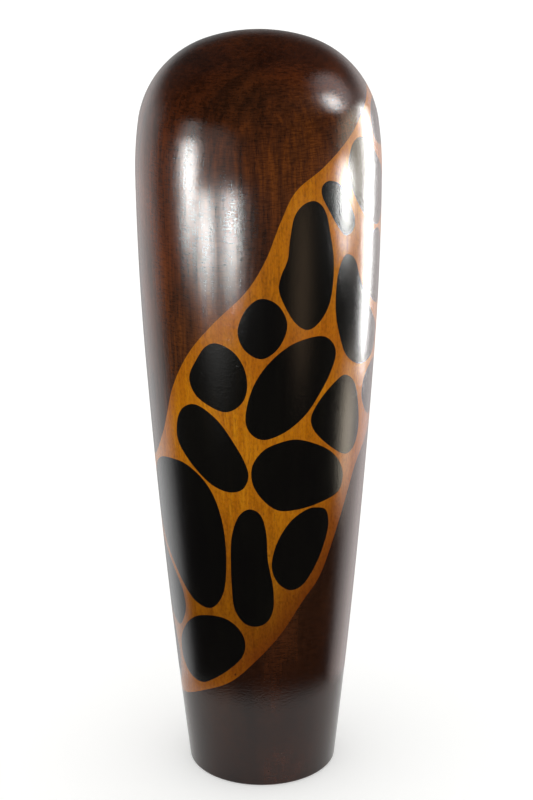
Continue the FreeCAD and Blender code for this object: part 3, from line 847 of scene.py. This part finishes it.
def make_pale_wood(name, dark, light, scale, roughness):
    """Plain unfinished wood or bamboo with long fibres."""
    finish = Finish(name, Roughness=roughness)
    fibres = finish.noise(finish.stretched(1, 1, 0.06), scale, 4.0, 0.6, 0.4)
    patches = finish.noise(finish.place, 30, 2.0, 0.5)
    tone = finish.sums("ADD", finish.sums("MULTIPLY", fibres, 0.7),
                       finish.sums("MULTIPLY", patches, 0.3))
    finish.put(finish.shader.inputs["Base Color"], finish.ramp(tone, [(0.35, dark), (0.65, light)]))
    finish.put(finish.shader.inputs["Normal"], finish.bump(fibres, 0.4, 0.2 * MM))
    return finish.material


def make_seed_husk():
    """Blotched brown husk with fine wrinkles."""
    finish = Finish("seed_husk", Roughness=0.55)
    blotches = finish.noise(finish.place, 260, 3.0, 0.6, 0.5)
    wrinkles = finish.noise(finish.place, 1500, 2.0, 0.6)
    finish.put(finish.shader.inputs["Base Color"],
               finish.ramp(blotches, [(0.35, "#4a2812"), (0.55, "#7d4c22"), (0.7, "#a3713c")]))
    finish.put(finish.shader.inputs["Normal"], finish.bump(wrinkles, 0.6, 0.15 * MM))
    return finish.material


# ---------------------------------------------------------------------------------------------
# The object
# ---------------------------------------------------------------------------------------------

def make_shells():
    """Each shell as a bare wood body under a skin of three finishes."""
    brown = make_brown_stain()
    amber = make_amber_stain()
    black = make_black_lacquer()
    bare = make_pale_wood("bare_wood", "#6f4a2a", "#a47a4c", 300, 0.75)
    skin = build_skin()
    finish, upper = skin[3], skin[4]
    finishes = (("brown", BROWN, brown), ("amber", AMBER, amber), ("black", BLACK, black))
    for half, in_half, node in (("upper", upper, "upper_shell"), ("lower", ~upper, "lower_cup")):
        profile = upper_wood_profile() if half == "upper" else lower_wood_profile()
        wood = turned_piece(f"{half}_wood", profile)
        wood.data.materials.append(bare)
        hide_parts(node)
        for name, number, material in finishes:
            piece = skin_piece(f"{half}_{name}_skin", skin, in_half & (finish == number),
                               SKIN_THICKNESS)
            piece.data.materials.append(material)
            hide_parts(node)


def give_material(node_prefix, material):
    """Put a material in every slot of the CAD nodes whose names start this way."""
    for name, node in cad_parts.items():
        if name.startswith(node_prefix):
            for slot in node.material_slots:
                slot.material = material


def dress_inner_parts():
    """Materials for the spindle, pegs and seeds, which keep their CAD meshes."""
    give_material("core_spindle", make_pale_wood("spindle_wood", "#b98f5c", "#dcb987", 260, 0.6))
    give_material("peg_", make_pale_wood("bamboo", "#b08a4a", "#d9bc7c", 500, 0.5))
    give_material("seeds_", make_seed_husk())


# ---------------------------------------------------------------------------------------------
# Floor, light and camera
# ---------------------------------------------------------------------------------------------

def disc(name, radius, height, material, segments=96):
    """A flat round piece of floor."""
    turns = [math.tau * index / segments for index in range(segments)]
    mesh = bpy.data.meshes.new(name)
    mesh.from_pydata([(radius * math.cos(turn), radius * math.sin(turn), height)
                      for turn in turns], [], [tuple(range(segments))])
    mesh.materials.append(material)
    piece = bpy.data.objects.new(name, mesh)
    bpy.context.scene.collection.objects.link(piece)
    return piece


LIGHT_DISTANCE = 0.8
NEAR_FLOOR_RADIUS = 0.145     # the floor that the foot mirrors
WIDE_FLOOR_RADIUS = 14.0
WIDE_FLOOR_DROP = 0.2 * MM


def make_floor():
    finish = Finish("pale_floor", Roughness=0.95)
    finish.shader.inputs["Specular IOR Level"].default_value = 0.05
    cloud = finish.noise(finish.place, 3, 2.0, 0.5)
    finish.put(finish.shader.inputs["Base Color"],
               finish.ramp(cloud, [(0.2, "#eaeae9"), (0.8, "#eeeeed")]))
    finish.shader.inputs["Emission Color"].default_value = (1.0, 1.0, 0.99, 1.0)
    finish.shader.inputs["Emission Strength"].default_value = 0.24
    # The lacquer mirrors only the floor close round the foot, as the rest is hidden from it.
    disc("floor_near", NEAR_FLOOR_RADIUS, 0.0, finish.material)
    wide = disc("floor_wide", WIDE_FLOOR_RADIUS, -WIDE_FLOOR_DROP, finish.material)
    wide.visible_glossy = False
    wide.visible_shadow = False


def soft_box(name, azimuth, height, width, tall, radiance, colour=(1.0, 1.0, 0.98)):
    """An upright oval softbox facing the stick, LIGHT_DISTANCE from its axis.

    It is seen only in the lacquer; azimuth is in degrees from the front towards +X.
    """
    light = bpy.data.lights.new(name, "AREA")
    light.shape = "ELLIPSE"
    light.size = width
    light.size_y = tall
    light.energy = radiance * math.pi * width * tall
    light.color = colour
    lamp = bpy.data.objects.new(name, light)
    turn = math.radians(azimuth)
    lamp.location = (
        LIGHT_DISTANCE * math.sin(turn), -LIGHT_DISTANCE * math.cos(turn), height)
    way = Vector(lamp.location) - Vector((0.0, 0.0, min(height, 0.8 * HEIGHT)))
    lamp.rotation_euler = way.to_track_quat("Z", "Y").to_euler()
    lamp.visible_camera = False
    lamp.visible_diffuse = False
    bpy.context.scene.collection.objects.link(lamp)


def make_lights():
    """The soft studio lights: what each highlight in the lacquer is a reflection of."""
    warm = (1.0, 0.88, 0.70)
    rosy = (1.0, 0.86, 0.86)
    soft_box("left_window", -64, 0.322, 0.10, 0.33, 58)
    soft_box("left_window_glow", -64, 0.480, 0.16, 0.50, 5.0)
    soft_box("left_haze", -38, 0.210, 0.34, 0.26, 1.5)
    soft_box("left_haze_glow", -40, 0.340, 0.60, 0.80, 0.6)
    soft_box("left_gap_a", -48, 0.192, 0.045, 0.14, 130)
    soft_box("left_gap_b", -24, 0.198, 0.045, 0.15, 130)
    soft_box("right_window", 120, 0.300, 0.15, 0.62, 28)
    soft_box("right_gap", 84, 0.265, 0.10, 0.19, 75)
    soft_box("right_haze", 98, 0.420, 0.50, 0.50, 3.4, warm)
    soft_box("front_glow", 39, 0.110, 0.22, 0.30, 0.9, (1.0, 0.68, 0.42))
    soft_box("low_glow", 100, -0.090, 0.26, 0.18, 4.0, warm)
    soft_box("high_lamp", 88, 0.900, 0.07, 0.26, 55)
    soft_box("high_haze", 100, 0.980, 0.60, 0.60, 2.0, rosy)


def make_world():
    """Even white light; mirrored, it is dark in front and bright only to the sides behind."""
    world = bpy.data.worlds.new("studio")
    world.use_nodes = True
    tree = world.node_tree
    tree.nodes.clear()

    def node(kind, **inputs):
        made = tree.nodes.new(kind)
        for name, value in inputs.items():
            socket = made.inputs[int(name[1:])] if name[0] == "i" else made.inputs[name]
            if isinstance(value, bpy.types.NodeSocket):
                tree.links.new(value, socket)
            else:
                socket.default_value = value
        return made

    def ramp(value, stops):
        made = node("ShaderNodeValToRGB", Fac=value)
        elements = made.color_ramp.elements
        while len(elements) < len(stops):
            elements.new(1.0)
        for element, (position, colour) in zip(elements, stops):
            element.position = position
            element.color = colour if isinstance(colour, tuple) else (colour, colour, colour, 1.0)
        return made.outputs["Color"]

    way = node("ShaderNodeTexCoord").outputs["Generated"]
    split = node("ShaderNodeSeparateXYZ", Vector=way)
    level = node("ShaderNodeCombineXYZ", X=split.outputs["X"], Y=split.outputs["Y"])
    unit = node("ShaderNodeVectorMath", i0=level.outputs["Vector"])
    unit.operation = "NORMALIZE"
    round_split = node("ShaderNodeSeparateXYZ", Vector=unit.outputs["Vector"])
    behind = ramp(round_split.outputs["Y"], [
        (0.0, 0.003), (0.30, 0.006), (0.38, 0.42), (0.67, 0.62), (0.86, 0.55), (0.97, 0.30),
        (1.0, 0.12),
    ])
    half_height = node("ShaderNodeMapRange", Value=split.outputs["Z"])
    half_height.inputs["From Min"].default_value = -1.0
    low = ramp(half_height.outputs["Result"], [(0.0, 1.0), (0.54, 1.0), (0.66, 0.05), (1.0, 0.02)])
    right = ramp(round_split.outputs["X"], [(0.0, 0.55), (0.2, (0.66, 0.60, 0.59, 1.0))])
    product = node("ShaderNodeVectorMath", i0=behind, i1=low)
    product.operation = "MULTIPLY"
    mirrored_grey = node("ShaderNodeVectorMath", i0=product.outputs["Vector"], i1=right)
    mirrored_grey.operation = "MULTIPLY"
    mirrored = node("ShaderNodeBackground", Color=mirrored_grey.outputs["Vector"], Strength=4.0)
    even = node("ShaderNodeBackground", Color=(1.0, 1.0, 0.995, 1.0), Strength=1.04)
    glossy = node("ShaderNodeLightPath").outputs["Is Glossy Ray"]
    mix = node("ShaderNodeMixShader", i0=glossy, i1=even.outputs["Background"],
               i2=mirrored.outputs["Background"])
    node("ShaderNodeOutputWorld", Surface=mix.outputs["Shader"])
    bpy.context.scene.world = world


CAMERA_SIDE = 0.0084 * HEIGHT
CAMERA_BACK = 2.486 * HEIGHT
CAMERA_UP = 1.375 * HEIGHT
CAMERA_PITCH = math.radians(19.04)
CAMERA_ROLL = math.radians(-0.32)


def make_camera():
    """A long lens in front of the stick, a little above its crown and looking down."""
    camera = bpy.data.cameras.new("camera")
    camera.sensor_width = 36.0
    camera.lens = 90.0
    eye = bpy.data.objects.new("camera", camera)
    eye.location = (CAMERA_SIDE, -CAMERA_BACK, CAMERA_UP)
    ahead = Vector((0.0, math.cos(CAMERA_PITCH), -math.sin(CAMERA_PITCH)))
    eye.rotation_mode = "QUATERNION"
    eye.rotation_quaternion = (
        ahead.to_track_quat("-Z", "Y") @ Quaternion((0, 0, 1), CAMERA_ROLL))
    bpy.context.scene.collection.objects.link(eye)
    bpy.context.scene.camera = eye


make_shells()
dress_inner_parts()
make_floor()
make_world()
make_lights()
make_camera()
bpy.context.scene.view_settings.view_transform = "Standard"
